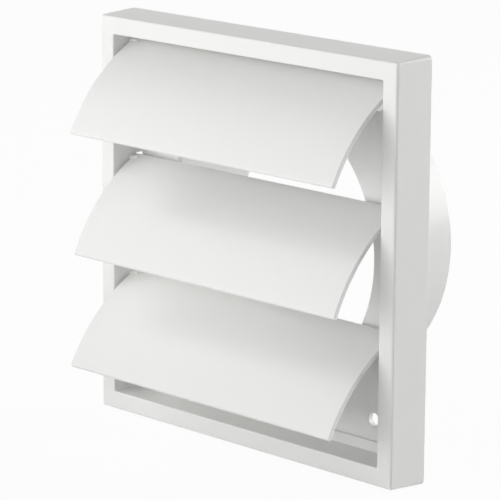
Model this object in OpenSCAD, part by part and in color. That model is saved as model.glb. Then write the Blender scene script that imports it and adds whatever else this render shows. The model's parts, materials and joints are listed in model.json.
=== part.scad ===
// Wall vent cover for a 100 mm extractor duct, with three gravity flaps.
// The origin is on the duct axis, in the plane of the wall.
// X is to the right, Y runs into the wall and Z is up, all in millimetres.

/* [Frame] */
// Outside width and height of the frame where it meets the wall
frame_w = 140; // [130:1:180]
// Depth of the frame from the wall to its front face
frame_d = 15; // [14:0.5:20]
// How far each outer side leans in between the wall and the front face
outer_lean = 0.95; // [0.3:0.05:1.6]
// Width of the flat rim around the front opening
rim_w = 6.2; // [5.8:0.1:10]
// How far each inner side leans in between the front face and the plate
inner_lean = 0.5; // [0:0.1:0.8]
// Thickness of the moulded walls of the hollow rim
wall_t = 1.8; // [1.4:0.1:2.2]
// Radius of the four outer corners at the wall
corner_r = 1.6; // [1.6:0.1:4]
// Radius of the rounded edge around the front face
edge_r = 0.6; // [0.3:0.1:0.6]
// Thickness of the ribs inside the hollow rim
rib_t = 1.2; // [0.8:0.1:2]

/* [Back plate] */
// Thickness of the back plate
plate_t = 2.5; // [2:0.1:3.2]
// Diameter of the four screw holes
screw_d = 4.5; // [3.5:0.1:5.5]
// Distance of each screw hole from the side of the opening
screw_side_inset = 13.5; // [10:0.5:20]
// Distance of each screw hole from the top or bottom of the opening
screw_end_inset = 10.8; // [9:0.1:14]
// Height of the lip along the bottom of the plate
lip_h = 3.9; // [2:0.1:6]
// How far the lip stands out of the plate
lip_d = 1.2; // [0.6:0.1:1.4]

/* [Spigot] */
// Outside diameter of the spigot that enters the duct
spigot_d = 99.5; // [90:0.5:102]
// Wall thickness of the spigot
spigot_t = 2.2; // [1.6:0.1:3]
// Length of the spigot behind the wall plane
spigot_l = 34; // [20:1:60]
// Chamfer around the free end of the spigot
spigot_chamfer = 0.8; // [0.3:0.1:1.2]
// How far the mouth of the bore flares in the plate
mouth_flare = 1.2; // [0.5:0.1:1.8]

/* [Flaps] */
// Thickness of each flap
flap_t = 1.6; // [1.2:0.1:1.8]
// How far each flap bows out of the line between its pivot and its free edge
flap_bow = 3.4; // [2.5:0.1:5]
// Height of each flap above its pivot
flap_head = 2.2; // [1.5:0.1:2.3]
// Gap between each end of a flap and the side of the opening
flap_side_gap = 0.7; // [0.4:0.1:1.5]
// Height of a closed flap's free edge above the pivot below it
flap_lap_gap = 0.25; // [0.2:0.05:1.6]
// Height of the closed lowest flap's free edge above the opening's bottom
flap_floor_gap = 0.9; // [0.8:0.05:2]
// Opening angle of the upper flap, measured from vertical
upper_angle = 44.6; // [5:0.1:65]
// Opening angle of the middle flap, measured from vertical
middle_angle = 41.7; // [5:0.1:65]
// Opening angle of the lower flap, measured from vertical
lower_angle = 45.2; // [5:0.1:65]

/* [Pivots] */
// Depth of the pivots behind the front face
pivot_depth = 8.2; // [7.8:0.1:9]
// Height of the opening's top above the first pivot
pivot_drop = 3; // [3:0.1:5]
// Diameter of the pivot pins
pin_d = 2.4; // [2:0.1:2.6]
// Radial clearance of each pin in its bearing
pin_clearance = 0.05; // [0.02:0.01:0.09]
// Diameter of the thicker root of each pin
root_d = 2.6; // [2.6:0.1:2.8]
// Length of the thicker root along the flap
root_l = 3; // [2:0.5:10]
// Height of the snap window behind each bearing
window_h = 3.2; // [3:0.1:6]
// Width of the throat between the window and the bearing
throat_w = 1.9; // [1.6:0.1:2]
// Length of the throat, from the bearing's centre to the window
throat_l = 2; // [1.8:0.1:2.2]

/* [Hidden] */
$fn = 96;
// Overshoot of each cutting tool past the face that it cuts
over = 1;
// Number of flaps above each other
flap_count = 3;
// Half widths of the opening at the front face and at the plate
open_front = frame_w / 2 - outer_lean - rim_w;
open_back = open_front - inner_lean;
// Centre of the outer corner arcs
corner_at = frame_w / 2 - corner_r;
// Spacing, reach and arc of the flaps
flap_pitch = (2 * open_front - pivot_drop - flap_floor_gap + flap_lap_gap) / flap_count;
flap_reach = flap_pitch - flap_lap_gap;
flap_half = open_back - flap_side_gap;
flap_r = (flap_reach * flap_reach / 4 + flap_bow * flap_bow) / (2 * flap_bow);
flap_half_arc = asin(flap_reach / 2 / flap_r);
// Arc, in degrees, that a length takes along the middle of the flap
function arc_of(length) = length / flap_r * 180 / PI;
// Places of the pivots
pivot_y = pivot_depth - frame_d;
// How far each pin reaches past the inner wall of the rim
pin_past = 0.4;
// Chamfer on the tip of each pin
pin_tip = 0.3;
plastic = "white";

function pivot_z(number) = open_front - pivot_drop - number * flap_pitch;

// Section of the frame's edge, out from the line of its corner centres
module edge_section() {
    lean_angle = atan(outer_lean / frame_d);
    arc_x = corner_r - edge_r / cos(lean_angle) - tan(lean_angle) * (frame_d - edge_r);
    arc_y = edge_r - frame_d;
    intersection() {
        union() {
            polygon([
                [0, 0], [corner_r, 0],
                [arc_x + edge_r * cos(lean_angle), arc_y - edge_r * sin(lean_angle)],
                [arc_x, arc_y], [arc_x, -frame_d], [0, -frame_d]
            ]);
            translate([arc_x, arc_y])
                circle(r = edge_r);
        }
        translate([0, -frame_d])
            square([corner_r, frame_d]);
    }
}

// Whole outer form of the frame before it is hollowed
module frame_block() {
    translate([-corner_at, -frame_d, -corner_at])
        cube([2 * corner_at, frame_d, 2 * corner_at]);
    for (turn = [0 : 90 : 270])
        rotate([0, turn, 0])
            translate([corner_at, 0, -corner_at]) {
                linear_extrude(2 * corner_at)
                    edge_section();
                rotate([-90, 0, 0])
                    rotate_extrude(angle = 90)
                        edge_section();
            }
}

// Square block whose four sides lean from one half width to another
module leaning_block(back_y, back_half, front_y, front_half) {
    for_both_ways()
        translate([0, 0, -frame_w])
            linear_extrude(2 * frame_w)
                polygon([
                    [-back_half, back_y], [back_half, back_y],
                    [front_half, front_y], [-front_half, front_y]
                ]);
}

// Keeps what a shape and its quarter turn about Y have in common
module for_both_ways() {
    intersection() {
        children();
        rotate([0, 90, 0])
            children();
    }
}

// Space inside the rim in front of the plate
module opening_cut() {
    slope = inner_lean / (frame_d - plate_t);
    leaning_block(-plate_t, open_back, -frame_d - over, open_front + slope * over);
}

// Hollow of the rim, open towards the wall and crossed by ribs
module rim_hollow() {
    front_y = wall_t - frame_d;
    outer_slope = outer_lean / frame_d;
    inner_slope = inner_lean / (frame_d - plate_t);
    outer_back = frame_w / 2 - wall_t;
    inner_back = open_back + wall_t;
    difference() {
        leaning_block(over, outer_back, front_y, outer_back + outer_slope * front_y);
        leaning_block(2 * over, inner_back, front_y - over, inner_back - inner_slope * (front_y - over));
        rim_ribs();
    }
}

// Ribs across the hollow of the rim, midway between the pivots
module rim_ribs() {
    for (place = [-1, 0, 1]) {
        translate([-frame_w, -frame_d, pivot_z(1 - place) - flap_pitch / 2 - rib_t / 2])
            cube([2 * frame_w, 2 * frame_d, rib_t]);
        translate([place * flap_pitch - rib_t / 2, -frame_d, -frame_w])
            cube([rib_t, 2 * frame_d, 2 * frame_w]);
    }
}

// Flared mouth and through bore of the spigot
module duct_bore() {
    bore_r = spigot_d / 2 - spigot_t;
    rotate([-90, 0, 0]) {
        translate([0, 0, -frame_d])
            cylinder(r = bore_r, h = frame_d + spigot_l + over);
        translate([0, 0, -plate_t])
            cylinder(r1 = bore_r + mouth_flare, r2 = bore_r, h = mouth_flare);
    }
}

// Tube that enters the duct
module spigot_tube() {
    outer_r = spigot_d / 2;
    rotate([-90, 0, 0])
        rotate_extrude()
            polygon([
                [0, -plate_t / 2], [outer_r, -plate_t / 2],
                [outer_r, spigot_l - spigot_chamfer], [outer_r - spigot_chamfer, spigot_l], [0, spigot_l]
            ]);
}

// Screw holes through the back plate
module screw_holes() {
    for (x = [-1, 1], z = [-1, 1])
        translate([x * (open_front - screw_side_inset), over, z * (open_front - screw_end_inset)])
            rotate([90, 0, 0])
                cylinder(d = screw_d, h = plate_t + lip_d + 2 * over);
}

// Lip that the lowest flap closes against
module bottom_lip() {
    translate([-open_front, -plate_t - lip_d, -open_front - wall_t / 2])
        cube([2 * open_front, plate_t / 2 + lip_d, lip_h + wall_t / 2]);
}

// Bearing hole, throat and snap window through one inner side wall
module pin_seat() {
    cut_from = open_back - over / 10;
    cut_w = open_front + wall_t + over / 2 - cut_from;
    translate([cut_from, pivot_y, 0]) {
        rotate([0, 90, 0])
            cylinder(r = pin_d / 2 + pin_clearance, h = cut_w);
        translate([0, 0, -throat_w / 2])
            cube([cut_w, throat_l + over / 2, throat_w]);
        translate([0, throat_l, -window_h / 2])
            cube([cut_w, over - pivot_y, window_h]);
    }
}

// Frame, plate and spigot, moulded in one piece
module housing() {
    color(plastic)
        difference() {
            union() {
                difference() {
                    frame_block();
                    opening_cut();
                    rim_hollow();
                }
                bottom_lip();
                spigot_tube();
            }
            duct_bore();
            screw_holes();
            for (number = [0 : flap_count - 1], side = [0, 1])
                translate([0, 0, pivot_z(number)])
                    mirror([side, 0, 0])
                        pin_seat();
        }
}

// Bowed section of a flap that hangs from a pivot at the origin
module flap_section() {
    centre_x = sqrt(flap_r * flap_r - flap_reach * flap_reach / 4);
    top_turn = 180 - flap_half_arc - arc_of(flap_head - flap_t / 2);
    bottom_turn = 180 + flap_half_arc - arc_of(flap_t / 2);
    far = 2 * flap_r;
    translate([centre_x, -flap_reach / 2]) {
        intersection() {
            difference() {
                circle(r = flap_r + flap_t / 2, $fn = 192);
                circle(r = flap_r - flap_t / 2, $fn = 192);
            }
            polygon([
                [0, 0],
                [far * cos(top_turn), far * sin(top_turn)],
                [far * cos(bottom_turn), far * sin(bottom_turn)]
            ]);
        }
        for (turn = [top_turn, bottom_turn])
            translate([flap_r * cos(turn), flap_r * sin(turn)])
                circle(d = flap_t, $fn = 48);
    }
}

// Pivot pin with its thicker root and chamfered tip
module pivot_pin() {
    pin_end = open_front + wall_t + pin_past;
    pin_r = pin_d / 2;
    rotate([0, 90, 0])
        rotate_extrude()
            polygon([
                [0, flap_half - root_l], [root_d / 2, flap_half - root_l], [root_d / 2, flap_half],
                [pin_r, flap_half], [pin_r, pin_end - pin_tip], [pin_r - pin_tip, pin_end], [0, pin_end]
            ]);
}

// One flap, turned open on its pivot
module flap(number, angle) {
    color(plastic)
        translate([0, pivot_y, pivot_z(number)])
            rotate([-angle, 0, 0]) {
                translate([-flap_half, 0, 0])
                    rotate([90, 0, 90])
                        linear_extrude(2 * flap_half)
                            flap_section();
                for (side = [0, 1])
                    mirror([side, 0, 0])
                        pivot_pin();
            }
}

module upper_flap() {
    flap(0, upper_angle);
}

module middle_flap() {
    flap(1, middle_angle);
}

module lower_flap() {
    flap(2, lower_angle);
}

housing();
upper_flap();
middle_flap();
lower_flap();
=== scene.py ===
"""Wall vent cover with three gravity flaps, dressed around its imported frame."""
import json
import math

import bmesh
import bpy
from mathutils import Matrix, Vector


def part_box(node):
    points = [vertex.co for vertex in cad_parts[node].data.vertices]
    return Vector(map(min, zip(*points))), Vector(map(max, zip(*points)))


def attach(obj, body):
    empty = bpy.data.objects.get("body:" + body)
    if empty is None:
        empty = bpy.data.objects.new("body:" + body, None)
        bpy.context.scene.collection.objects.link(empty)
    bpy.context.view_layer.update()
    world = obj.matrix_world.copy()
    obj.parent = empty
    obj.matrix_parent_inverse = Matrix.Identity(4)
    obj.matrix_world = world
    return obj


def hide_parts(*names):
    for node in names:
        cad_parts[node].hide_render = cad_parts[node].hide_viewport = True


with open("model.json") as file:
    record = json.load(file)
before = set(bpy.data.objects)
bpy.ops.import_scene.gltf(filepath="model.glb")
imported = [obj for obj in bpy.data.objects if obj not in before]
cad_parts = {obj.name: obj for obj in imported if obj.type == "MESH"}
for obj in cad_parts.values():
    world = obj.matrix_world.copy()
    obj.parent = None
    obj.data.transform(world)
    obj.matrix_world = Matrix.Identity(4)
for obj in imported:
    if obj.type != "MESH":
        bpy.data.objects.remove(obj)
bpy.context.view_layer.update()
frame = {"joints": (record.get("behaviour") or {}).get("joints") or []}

MM = 0.001
HOUSING_LOW, HOUSING_HIGH = (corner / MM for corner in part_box("housing"))

# Housing, in millimetres
HALF_WIDTH = HOUSING_HIGH.x
FRONT = HOUSING_LOW.y
SPIGOT_END = HOUSING_HIGH.y
OUTER_LEAN = 0.95
RIM_WIDTH = 6.2
INNER_LEAN = 0.5
WALL = 1.8
PLATE = 2.5
OPENING = HALF_WIDTH - OUTER_LEAN - RIM_WIDTH
OPENING_AT_PLATE = OPENING - INNER_LEAN
FRONT_EDGE_ROUND = 0.9
INNER_EDGE_ROUND = 0.5
SOFT_EDGE = 0.3
OUTER_CORNER = 1.6
INNER_CORNER = 0.6
SPIGOT_RADIUS = 49.75
SPIGOT_WALL = 2.2
MOUTH_FLARE = 1.2
SPIGOT_CHAMFER = 0.8
MOUTH_ROUND = 0.4
FOOT_ROUND = 0.2
SCREW_RADIUS = 2.25
SCREW_SIDES = 40
SCREW_X = OPENING - 13.5
SCREW_Z = OPENING - 10.8
LIP_HEIGHT = 3.9
LIP_DEPTH = 1.2
RIB = 1.2

# Flaps, in millimetres and degrees
FLAP_THICKNESS = 1.6
FLAP_BOW = 3.4
FLAP_HEAD = 2.2
FLAP_SIDE_GAP = 0.7
FLAP_LAP_GAP = 0.25
FLAP_HALF = OPENING_AT_PLATE - FLAP_SIDE_GAP
FLAP_END_ROUND = 0.25
OPEN_ANGLES = {"upper_flap": 44.6, "middle_flap": 41.7, "lower_flap": 45.2}
PIN_RADIUS = 1.2
PIN_SIDES = 32
PIN_CLEARANCE = 0.05
PIN_OVERHANG = 0.4
PIN_END = OPENING + WALL + PIN_OVERHANG
PIN_TIP = 0.3
ROOT_RADIUS = 1.3
ROOT_LENGTH = 3.0
ROOT_CHAMFER = 0.1
WINDOW_HEIGHT = 3.2
THROAT_WIDTH = 1.9
THROAT_LENGTH = 2.0

# The pivots come from the frame's joints
PIVOTS = {joint["child"]: Vector(joint["pos_m"]) / MM for joint in frame["joints"]}
PITCH = PIVOTS["upper_flap"].z - PIVOTS["middle_flap"].z
FLAP_REACH = PITCH - FLAP_LAP_GAP
FLAP_RADIUS = (FLAP_REACH ** 2 / 4 + FLAP_BOW ** 2) / (2 * FLAP_BOW)

# Points of each ring around the housing: straight sides and corner arcs
SIDE_STEPS = 24
CORNER_STEPS = 8
RING_POINTS = 4 * (SIDE_STEPS + CORNER_STEPS)
ARC_STEPS = 5

# Edges that turn by more than this stay sharp, in degrees
SHARP_EDGE = 35


def fillet(before, corner, after, radius):
    """Points of the arc that rounds a corner between two straight legs."""
    corner = Vector(corner)
    leg_in = (Vector(before) - corner).normalized()
    leg_out = (Vector(after) - corner).normalized()
    half = leg_in.angle(leg_out) / 2
    reach = radius / math.tan(half)
    centre = corner + (leg_in + leg_out).normalized() * (radius / math.sin(half))
    start = corner + leg_in * reach - centre
    end = corner + leg_out * reach - centre
    turn = start.angle(end)
    points = []
    for step in range(ARC_STEPS + 1):
        share = step / ARC_STEPS
        from_start = math.sin((1 - share) * turn) * start
        from_end = math.sin(share * turn) * end
        points.append(centre + (from_start + from_end) / math.sin(turn))
    return points


def rounded(corners, closed=False):
    """Outline through corners given as (u, v, radius), each rounded by its radius."""
    points = []
    last = len(corners) - 1
    for index, (u, v, radius) in enumerate(corners):
        if radius == 0 or (not closed and index in (0, last)):
            points.append(Vector((u, v)))
            continue
        before = corners[index - 1][:2]
        after = corners[(index + 1) % len(corners)][:2]
        points += fillet(before, (u, v), after, radius)
    return points


def square_ring(half, corner, y):
    """Ring of points around a square with rounded corners, at one depth."""
    centre = half - corner
    half_side = SIDE_STEPS // 2
    quarter = []
    for step in range(half_side):
        quarter.append((half, centre * step / half_side))
    for step in range(CORNER_STEPS + 1):
        angle = math.pi / 2 * step / CORNER_STEPS
        quarter.append((centre + corner * math.cos(angle), centre + corner * math.sin(angle)))
    for step in range(1, half_side):
        quarter.append((centre * (1 - step / half_side), half))
    ring = []
    for turn in range(4):
        for x, z in quarter:
            for _ in range(turn):
                x, z = -z, x
            ring.append((x, y, z))
    return ring


def round_ring(radius, y, count=RING_POINTS):
    """Ring of points around a circle, at one depth."""
    angles = [2 * math.pi * step / count for step in range(count)]
    return [(radius * math.cos(a), y, radius * math.sin(a)) for a in angles]


def new_piece(name, build):
    """Object at the origin whose mesh is filled by a function, in metres."""
    mesh = bpy.data.meshes.new(name)
    shape = bmesh.new()
    build(shape)
    bmesh.ops.scale(shape, vec=(MM, MM, MM), verts=shape.verts)
    bmesh.ops.recalc_face_normals(shape, faces=shape.faces)
    shape.to_mesh(mesh)
    shape.free()
    piece = bpy.data.objects.new(name, mesh)
    bpy.context.scene.collection.objects.link(piece)
    return piece


def join_rings(shape, rings, closed):
    """Skins a chain of rings, and back to the first one where the chain is closed."""
    loops = [[shape.verts.new(point) for point in ring] for ring in rings]
    pairs = list(zip(loops, loops[1:]))
    if closed:
        pairs.append((loops[-1], loops[0]))
    for low, high in pairs:
        for step in range(len(low)):
            after = (step + 1) % len(low)
            shape.faces.new((low[step], low[after], high[after], high[step]))
    return loops


def solid_of_rings(shape, rings):
    """Skins a chain of rings and caps its first and last one."""
    loops = join_rings(shape, rings, closed=False)
    shape.faces.new(loops[0])
    shape.faces.new(loops[-1])


def extrude_x(shape, outline, half):
    """Solid bar of a (y, z) outline, from minus to plus a half length along X."""
    solid_of_rings(shape, [[(x, p[0], p[1]) for p in outline] for x in (-half, half)])


def settle(piece):
    """Replaces a piece's mesh by its evaluated one and clears its modifiers."""
    graph = bpy.context.evaluated_depsgraph_get()
    mesh = bpy.data.meshes.new_from_object(piece.evaluated_get(graph))
    piece.modifiers.clear()
    piece.data = mesh
    mesh.name = piece.name


def combine(piece, tool, operation):
    """Adds or cuts away a closed tool shape, which is then removed."""
    cut = piece.modifiers.new("combine", "BOOLEAN")
    cut.solver = "EXACT"
    cut.operation = operation
    cut.object = tool
    settle(piece)
    bpy.data.objects.remove(tool)


# Geometry Nodes
class Tree:
    """Small builder for a node tree with named inputs."""

    def __init__(self, name, inputs):
        self.tree = bpy.data.node_groups.new(name, "GeometryNodeTree")
        self.tree.interface.new_socket("Geometry", in_out="OUTPUT", socket_type="NodeSocketGeometry")
        self.sockets = {}
        for label, kind in inputs.items():
            socket = self.tree.interface.new_socket(label, in_out="INPUT", socket_type=kind)
            self.sockets[label] = socket.identifier
        self.inputs = self.tree.nodes.new("NodeGroupInput").outputs
        self.output = self.tree.nodes.new("NodeGroupOutput").inputs[0]

    def node(self, kind, settings=None, **values):
        """Adds a node, sets its settings, then its sockets' values or links."""
        made = self.tree.nodes.new(kind)
        for key, value in (settings or {}).items():
            setattr(made, key, value)
        for key, value in values.items():
            socket = made.inputs[key.replace("_", " ")]
            if isinstance(value, bpy.types.NodeSocket):
                self.tree.links.new(value, socket)
            else:
                socket.default_value = value
        return made


def pattern_tree():
    """Copies one shape over a grid of places in X and Z."""
    tree = Tree("pattern", {
        "Shape": "NodeSocketObject", "Columns": "NodeSocketInt", "Rows": "NodeSocketInt",
        "Column Step": "NodeSocketVector", "Row Step": "NodeSocketVector",
        "Start": "NodeSocketVector", "Finish": "NodeSocketMaterial",
    })
    given = tree.inputs
    line = {"mode": "OFFSET"}
    columns = tree.node("GeometryNodeMeshLine", line, Count=given["Columns"],
                        Start_Location=given["Start"], Offset=given["Column Step"])
    rows = tree.node("GeometryNodeMeshLine", line, Count=given["Rows"], Offset=given["Row Step"])
    places = tree.node("GeometryNodeInstanceOnPoints", Points=columns.outputs[0], Instance=rows.outputs[0])
    spread = tree.node("GeometryNodeRealizeInstances", Geometry=places.outputs[0])
    shape = tree.node("GeometryNodeObjectInfo", Object=given["Shape"])
    copies = tree.node("GeometryNodeInstanceOnPoints", Points=spread.outputs[0],
                       Instance=shape.outputs["Geometry"])
    real = tree.node("GeometryNodeRealizeInstances", Geometry=copies.outputs[0])
    finished = tree.node("GeometryNodeSetMaterial", Geometry=real.outputs[0], Material=given["Finish"])
    tree.tree.links.new(finished.outputs[0], tree.output)
    return tree


PATTERN = pattern_tree()


def repeated(shape, start, columns, column_step, rows, row_step):
    """Grid of copies of a housing shape as one plain mesh, with the shape itself removed."""
    piece = bpy.data.objects.new(shape.name + "_pattern", bpy.data.meshes.new("pattern"))
    bpy.context.scene.collection.objects.link(piece)
    modifier = piece.modifiers.new("pattern", "NODES")
    modifier.node_group = PATTERN.tree
    values = {
        "Shape": shape, "Columns": columns, "Rows": rows,
        "Column Step": [MM * v for v in column_step], "Row Step": [MM * v for v in row_step],
        "Start": [MM * v for v in start], "Finish": HOUSING_PLASTIC,
    }
    for label, value in values.items():
        modifier[PATTERN.sockets[label]] = value
    settle(piece)
    bpy.data.objects.remove(shape)
    return piece


# Shaders
class Value:
    """Wraps a shader socket, so that an expression on it adds its Math nodes."""

    def __init__(self, shader, socket):
        self.shader = shader
        self.socket = socket

    def _math(self, operation, first, second):
        made = self.shader.node("ShaderNodeMath", {"operation": operation}, (first, second))
        return Value(self.shader, made.outputs[0])

    def __add__(self, other):
        return self._math("ADD", self, other)

    def __radd__(self, other):
        return self._math("ADD", other, self)

    def __sub__(self, other):
        return self._math("SUBTRACT", self, other)

    def __rsub__(self, other):
        return self._math("SUBTRACT", other, self)

    def __mul__(self, other):
        return self._math("MULTIPLY", self, other)

    def __rmul__(self, other):
        return self._math("MULTIPLY", other, self)


class Shader:
    """Builder for the nodes of a material, or of the world."""

    def __init__(self, name, kind="materials", output="ShaderNodeOutputMaterial"):
        self.owner = getattr(bpy.data, kind).new(name)
        self.owner.use_nodes = True
        self.nodes = self.owner.node_tree.nodes
        self.links = self.owner.node_tree.links
        self.nodes.clear()
        self.output = self.nodes.new(output)

    def node(self, kind, settings=None, values=None):
        """Adds a node, sets its settings, then its sockets by name or in order."""
        made = self.nodes.new(kind)
        for key, value in (settings or {}).items():
            setattr(made, key, value)
        given = values.items() if isinstance(values, dict) else enumerate(values or ())
        for key, value in given:
            socket = made.inputs[key]
            if isinstance(value, Value):
                self.links.new(value.socket, socket)
            elif isinstance(value, bpy.types.NodeSocket):
                self.links.new(value, socket)
            else:
                socket.default_value = value
        return made

    def noise(self, scale, detail=3.0, roughness=0.55):
        """Noise over the object's own coordinates, as a value around one half."""
        place = self.node("ShaderNodeTexCoord").outputs["Object"]
        made = self.node("ShaderNodeTexNoise", {"noise_dimensions": "3D"}, {
            "Vector": place, "Scale": scale, "Detail": detail, "Roughness": roughness,
        })
        return Value(self, made.outputs["Fac"])

    def mix_colour(self, factor, first, second):
        made = self.node("ShaderNodeMix", {"data_type": "RGBA"}, {0: factor, 6: first, 7: second})
        return made.outputs[2]


# White plastic: noise scales per metre, how far the gloss varies, and the relief in metres
FLOW_SCALE = 28.0
CLOUD_SCALE = 90.0
RIPPLE_SCALE = 140.0
GRAIN_SCALE = 2600.0
CLOUD_GLOSS = 0.10
GRAIN_GLOSS = 0.08
RELIEF = 0.00006
RELIEF_STRENGTH = 0.22
WHITE = (1.0, 1.0, 1.0, 1.0)


def white_plastic(name, base, shade, roughness):
    """Satin moulded plastic: a fine grain, faint flow marks and a little unevenness in the gloss."""
    shader = Shader(name)
    flow = shader.noise(FLOW_SCALE, detail=2.0)
    cloud = shader.noise(CLOUD_SCALE, detail=4.0)
    grain = shader.noise(GRAIN_SCALE, detail=2.0, roughness=0.6)
    ripple = shader.noise(RIPPLE_SCALE, detail=1.0)
    colour = shader.mix_colour(flow * 0.6 + cloud * 0.4, base, shade)
    gloss = (cloud - 0.5) * CLOUD_GLOSS + (grain - 0.5) * GRAIN_GLOSS + roughness
    height = grain * 0.35 + ripple * 0.65
    bump = shader.node("ShaderNodeBump", None, {
        "Strength": RELIEF_STRENGTH, "Distance": RELIEF, "Height": height,
    })
    surface = shader.node("ShaderNodeBsdfPrincipled", None, {
        "Base Color": colour, "Roughness": gloss, "Normal": bump.outputs[0],
        "IOR": 1.49, "Specular IOR Level": 0.45,
    })
    shader.links.new(surface.outputs[0], shader.output.inputs["Surface"])
    return shader.owner


def shown_white(shader):
    """One for the rays that see or mirror the backdrop, nought for those that light the cover."""
    path = shader.node("ShaderNodeLightPath").outputs
    return Value(shader, path["Is Camera Ray"]) + path["Is Glossy Ray"] + path["Is Transmission Ray"]


def floor_finish():
    """Pale floor that shows white to the camera and keeps a faint shadow."""
    shader = Shader("pale_floor")
    matt = shader.node("ShaderNodeBsdfDiffuse", None, {"Color": FLOOR_COLOUR})
    white = shader.node("ShaderNodeEmission", None, {"Color": WHITE, "Strength": 1.0})
    seen = shown_white(shader) * FLOOR_WHITENESS
    surface = shader.node("ShaderNodeMixShader", None, {0: seen, 1: matt.outputs[0], 2: white.outputs[0]})
    shader.links.new(surface.outputs[0], shader.output.inputs["Surface"])
    return shader.owner


HOUSING_PLASTIC = white_plastic(
    "housing_white", base=(0.815, 0.813, 0.802, 1), shade=(0.80, 0.798, 0.785, 1), roughness=0.32)
FLAP_PLASTIC = white_plastic(
    "flap_white", base=(0.82, 0.818, 0.808, 1), shade=(0.805, 0.803, 0.791, 1), roughness=0.34)


# Housing
def housing_rings():
    """Rings of the whole housing: bore, plate, rim, hollow, plate's back and spigot."""
    bore = SPIGOT_RADIUS - SPIGOT_WALL
    flat_by_rim = 2.0
    flat_by_foot = 1.0
    seam = 1.0
    hollow_front = FRONT + WALL
    outer_lean = OUTER_LEAN * hollow_front / FRONT
    inner_lean = INNER_LEAN * (hollow_front + PLATE) / (FRONT + PLATE)
    bore_run = rounded([
        (bore, SPIGOT_END / 2, 0), (bore, -PLATE + MOUTH_FLARE, MOUTH_ROUND),
        (bore + MOUTH_FLARE, -PLATE, SOFT_EDGE), (bore + 3 * MOUTH_FLARE, -PLATE, 0),
    ])
    rim_run = rounded([
        (OPENING_AT_PLATE - flat_by_rim, -PLATE, 0),
        (OPENING_AT_PLATE, -PLATE, SOFT_EDGE),
        (OPENING, FRONT, INNER_EDGE_ROUND),
        (HALF_WIDTH - OUTER_LEAN, FRONT, FRONT_EDGE_ROUND),
        (HALF_WIDTH, 0, SOFT_EDGE),
        (HALF_WIDTH - WALL, 0, SOFT_EDGE),
        (HALF_WIDTH - WALL - outer_lean, hollow_front, SOFT_EDGE),
        (OPENING_AT_PLATE + WALL + inner_lean, hollow_front, SOFT_EDGE),
        (OPENING_AT_PLATE + WALL, 0, SOFT_EDGE),
        (OPENING_AT_PLATE - flat_by_rim, 0, 0),
    ])
    spigot_run = rounded([
        (SPIGOT_RADIUS + flat_by_foot, 0, 0), (SPIGOT_RADIUS, 0, FOOT_ROUND),
        (SPIGOT_RADIUS, SPIGOT_END - SPIGOT_CHAMFER, SOFT_EDGE),
        (SPIGOT_RADIUS - SPIGOT_CHAMFER, SPIGOT_END, SOFT_EDGE),
        (bore, SPIGOT_END, SOFT_EDGE), (bore, SPIGOT_END / 2 + seam, 0),
    ])
    rings = [round_ring(u, y) for u, y in bore_run]
    for u, y in rim_run:
        inside = u < (OPENING + HALF_WIDTH) / 2
        corner = INNER_CORNER if inside else OUTER_CORNER - (HALF_WIDTH - u)
        rings.append(square_ring(u, max(corner, INNER_CORNER), y))
    rings += [round_ring(u, y) for u, y in spigot_run]
    return rings


def bottom_lip():
    """Lip along the bottom of the plate."""
    top = -OPENING + LIP_HEIGHT
    outline = rounded([
        (-PLATE / 2, top, 0), (-PLATE - LIP_DEPTH, top, SOFT_EDGE),
        (-PLATE - LIP_DEPTH, -OPENING - WALL / 2, 0), (-PLATE / 2, -OPENING - WALL / 2, 0),
    ], closed=True)
    half = OPENING_AT_PLATE + SOFT_EDGE
    return new_piece("lip", lambda shape: extrude_x(shape, outline, half))


def rib(along_x):
    """One rib that crosses the hollow rim, for the sides or for the top and bottom."""
    reach = (HALF_WIDTH - WALL - OPENING_AT_PLATE - WALL) / 2 + SOFT_EDGE
    size = (RIB / 2, reach) if along_x else (reach, RIB / 2)
    depth = -FRONT - WALL / 2 - SOFT_EDGE

    def build(shape):
        bmesh.ops.create_cube(shape, size=1.0)
        bmesh.ops.scale(shape, vec=(2 * size[0], depth, 2 * size[1]), verts=shape.verts)
        bmesh.ops.translate(shape, vec=(0, -SOFT_EDGE - depth / 2, 0), verts=shape.verts)
    return new_piece("rib", build)


def screw_cutter():
    """Cutter for one screw hole, flared a little where it meets each face."""
    ease = 0.3
    beyond = 1.0
    outline = [
        (SCREW_RADIUS + ease + beyond, beyond), (SCREW_RADIUS, -ease),
        (SCREW_RADIUS, -PLATE + ease), (SCREW_RADIUS + ease + beyond, -PLATE - beyond),
    ]
    rings = [round_ring(radius, y, SCREW_SIDES) for radius, y in outline]
    return new_piece("screw_hole", lambda shape: solid_of_rings(shape, rings))


def seat_cutter():
    """Cutter for a pin's bearing hole, its throat and the snap window behind it."""
    pivot_y = PIVOTS["middle_flap"].y
    radius = PIN_RADIUS + PIN_CLEARANCE
    half_throat = THROAT_WIDTH / 2
    start = math.asin(half_throat / radius)
    outline = []
    for step in range(PIN_SIDES + 1):
        angle = start + (2 * math.pi - 2 * start) * step / PIN_SIDES
        outline.append((pivot_y + radius * math.cos(angle), radius * math.sin(angle)))
    window = pivot_y + THROAT_LENGTH
    half_window = WINDOW_HEIGHT / 2
    beyond = 1.0
    outline += [
        (window, -half_throat), (window, -half_window), (beyond, -half_window),
        (beyond, half_window), (window, half_window), (window, half_throat),
    ]
    half = (OPENING + WALL - OPENING_AT_PLATE + beyond) / 2
    return new_piece("pin_seat", lambda shape: extrude_x(shape, outline, half))


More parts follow.
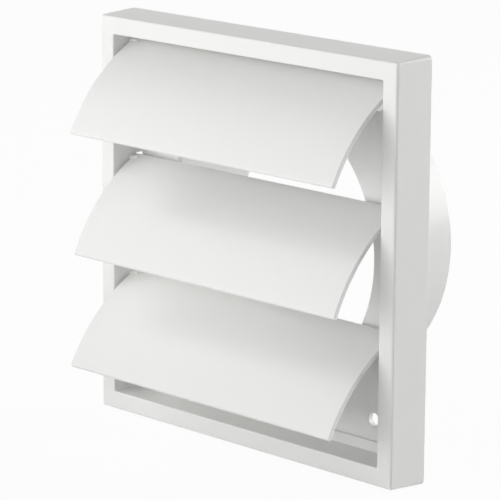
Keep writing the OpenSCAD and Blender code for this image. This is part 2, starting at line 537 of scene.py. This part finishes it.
def make_housing():
    """The moulded frame, plate and spigot."""
    housing = new_piece("vent_housing", lambda shape: join_rings(shape, housing_rings(), closed=True))
    combine(housing, bottom_lip(), "UNION")
    hollow = (HALF_WIDTH - WALL + OPENING_AT_PLATE + WALL) / 2
    middle_z = PIVOTS["middle_flap"].z - PITCH / 2
    side_ribs = repeated(rib(False), (-hollow, 0, middle_z - PITCH),
                         2, (2 * hollow, 0, 0), 3, (0, 0, PITCH))
    cross_ribs = repeated(rib(True), (-PITCH, 0, -hollow),
                          3, (PITCH, 0, 0), 2, (0, 0, 2 * hollow))
    for ribs in (side_ribs, cross_ribs):
        combine(housing, ribs, "UNION")
    screws = repeated(screw_cutter(), (-SCREW_X, 0, -SCREW_Z),
                      2, (2 * SCREW_X, 0, 0), 2, (0, 0, 2 * SCREW_Z))
    combine(housing, screws, "DIFFERENCE")
    seat_x = (OPENING_AT_PLATE + OPENING + WALL) / 2
    lowest = PIVOTS["lower_flap"].z
    seats = repeated(seat_cutter(), (-seat_x, 0, lowest),
                     2, (2 * seat_x, 0, 0), 3, (0, 0, PITCH))
    combine(housing, seats, "DIFFERENCE")
    finish_piece(housing, HOUSING_PLASTIC, "housing", "housing")


# Flaps
def flap_section(inset):
    """Outline of the bowed sheet around its pivot, drawn in by an inset.

    It runs along the outer face, round the tip, back along the inner face and round the head.
    """
    half_arc = math.asin(FLAP_REACH / 2 / FLAP_RADIUS)
    centre = Vector((math.sqrt(FLAP_RADIUS ** 2 - FLAP_REACH ** 2 / 4), -FLAP_REACH / 2))
    half = FLAP_THICKNESS / 2
    top = math.pi - half_arc - (FLAP_HEAD - half) / FLAP_RADIUS
    tip = math.pi + half_arc - half / FLAP_RADIUS
    face_steps = 40
    tip_steps = 10
    points = []

    def place(turn, radius):
        return centre + Vector((math.cos(turn), math.sin(turn))) * radius

    for step in range(face_steps + 1):
        points.append(place(top + (tip - top) * step / face_steps, FLAP_RADIUS + half - inset))
    for step in range(1, tip_steps):
        turn = math.pi * step / tip_steps
        out = Vector((math.cos(tip + turn), math.sin(tip + turn)))
        points.append(place(tip, FLAP_RADIUS) + out * (half - inset))
    for step in range(face_steps + 1):
        points.append(place(tip + (top - tip) * step / face_steps, FLAP_RADIUS - half + inset))
    for step in range(1, tip_steps):
        turn = math.pi * step / tip_steps
        out = Vector((math.cos(top + math.pi + turn), math.sin(top + math.pi + turn)))
        points.append(place(top, FLAP_RADIUS) + out * (half - inset))
    return points


def flap_sheet(shape):
    """Bowed sheet along X with softened ends."""
    steps = 4
    ends = []
    for step in range(steps + 1):
        angle = math.pi / 2 * step / steps
        short = FLAP_END_ROUND * (1 - math.sin(angle))
        inset = FLAP_END_ROUND * (1 - math.cos(angle))
        ends.append((FLAP_HALF - short, inset))
    places = [(-x, inset) for x, inset in reversed(ends)] + ends
    solid_of_rings(shape, [[(x, p.x, p.y) for p in flap_section(inset)] for x, inset in places])


def pin_lathe(shape, side):
    """Pin with its thicker root and chamfered tip, turned about X."""
    profile = [
        (FLAP_HALF - ROOT_LENGTH, ROOT_RADIUS), (FLAP_HALF - ROOT_CHAMFER, ROOT_RADIUS),
        (FLAP_HALF, ROOT_RADIUS - ROOT_CHAMFER), (FLAP_HALF, PIN_RADIUS),
        (PIN_END - PIN_TIP, PIN_RADIUS), (PIN_END, PIN_RADIUS - PIN_TIP),
    ]
    rings = []
    for x, radius in profile:
        rings.append([(along, u, v) for u, along, v in round_ring(radius, side * x, PIN_SIDES)])
    solid_of_rings(shape, rings)


def make_flap(name):
    """One flap with its two pins, turned to its open angle on its pivot."""
    flap = new_piece("vent_" + name, flap_sheet)
    for side in (-1, 1):
        pin = new_piece("pin", lambda shape: pin_lathe(shape, side))
        combine(flap, pin, "UNION")
    pivot = Matrix.Translation(PIVOTS[name] * MM)
    flap.data.transform(pivot @ Matrix.Rotation(math.radians(-OPEN_ANGLES[name]), 4, "X"))
    finish_piece(flap, FLAP_PLASTIC, name, name)


def finish_piece(piece, material, body, node):
    """Gives a piece its shading, finish and place in the frame."""
    mesh = piece.data
    mesh.materials.clear()
    mesh.materials.append(material)
    mesh.shade_smooth()
    mesh.set_sharp_from_angle(angle=math.radians(SHARP_EDGE))
    normals = piece.modifiers.new("even_shading", "WEIGHTED_NORMAL")
    normals.keep_sharp = True
    normals.weight = 100
    settle(piece)
    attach(piece, body)
    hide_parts(node)


make_housing()
for flap_name in OPEN_ANGLES:
    make_flap(flap_name)

# Stage, lights and camera, in metres and degrees
FLOOR_COLOUR = (0.9, 0.9, 0.9, 1.0)
FLOOR_WHITENESS = 0.95
FLOOR_GAP = 0.0005
FLOOR_SIZE = 6.0
PANEL = 0.9
CARD = 0.5
CARD_PLACE = (-0.30, -0.45, -0.068)
CARD_AIM = (-0.30, -0.45, 1.0)
CAMERA_PLACE = (0.6981, -0.6942, 0.2211)
CAMERA_AZIMUTH = 45.607
CAMERA_ELEVATION = 12.889
CAMERA_ROLL = 0.374
CAMERA_LENS_MM = 217.9
CAMERA_SENSOR_MM = 36.0


def make_floor():
    """Floor just under the cover."""
    def build(shape):
        bmesh.ops.create_grid(shape, x_segments=1, y_segments=1, size=FLOOR_SIZE / 2 / MM)
        drop = HOUSING_LOW.z - FLOOR_GAP / MM
        bmesh.ops.translate(shape, vec=(0, 0, drop), verts=shape.verts)
    floor = new_piece("floor", build)
    floor.data.materials.append(floor_finish())


def area_light(name, place, size, power, aim=(0.0, 0.0, 0.0)):
    """Soft square light, aimed at the cover where nothing else is asked."""
    light = bpy.data.lights.new(name, "AREA")
    light.shape = "SQUARE"
    light.size = size
    light.energy = power
    lamp = bpy.data.objects.new(name, light)
    lamp.location = place
    lamp.rotation_euler = (Vector(aim) - Vector(place)).to_track_quat("-Z", "Y").to_euler()
    lamp.visible_camera = False
    bpy.context.scene.collection.objects.link(lamp)


def make_world(fill):
    """Even fill, shown as a white backdrop."""
    shader = Shader("studio", "worlds", "ShaderNodeOutputWorld")
    bpy.context.scene.world = shader.owner
    light = shader.node("ShaderNodeBackground", None, {"Color": WHITE, "Strength": fill})
    white = shader.node("ShaderNodeBackground", None, {"Color": WHITE, "Strength": 1.0})
    surface = shader.node("ShaderNodeMixShader", None, {
        0: shown_white(shader), 1: light.outputs[0], 2: white.outputs[0],
    })
    shader.links.new(surface.outputs[0], shader.output.inputs["Surface"])


def make_camera():
    """Camera at the photograph's viewing angle, with no shift."""
    angles = (CAMERA_AZIMUTH, CAMERA_ELEVATION, CAMERA_ROLL)
    azimuth, elevation, roll = (math.radians(angle) for angle in angles)
    level = math.cos(elevation)
    right = Vector((math.cos(azimuth), math.sin(azimuth), 0))
    ahead = Vector((-math.sin(azimuth) * level, math.cos(azimuth) * level, -math.sin(elevation)))
    up = right.cross(ahead)
    turned_right = math.cos(roll) * right + math.sin(roll) * up
    turned_up = math.cos(roll) * up - math.sin(roll) * right
    camera = bpy.data.cameras.new("camera")
    camera.sensor_width = CAMERA_SENSOR_MM
    camera.lens = CAMERA_LENS_MM
    holder = bpy.data.objects.new("camera", camera)
    axes = Matrix((turned_right, turned_up, -ahead)).transposed()
    holder.matrix_world = Matrix.Translation(CAMERA_PLACE) @ axes.to_4x4()
    bpy.context.scene.collection.objects.link(holder)
    bpy.context.scene.camera = holder


make_floor()
area_light("high_left_panel", (-1.06, -0.61, 0.86), PANEL, 5.2)
area_light("left_front_panel", (-0.86, -1.22, 0.13), PANEL, 6.5)
area_light("front_panel", (-0.26, -1.45, 0.26), PANEL, 6.5)
area_light("right_front_panel", (1.04, -1.04, 0.26), PANEL, 3.5)
area_light("rear_right_panel", (0.70, 1.22, 0.51), PANEL, 18)
area_light("floor_card", CARD_PLACE, CARD, 1.0, aim=CARD_AIM)
make_world(0.17)
make_camera()
bpy.context.scene.view_settings.view_transform = "Standard"
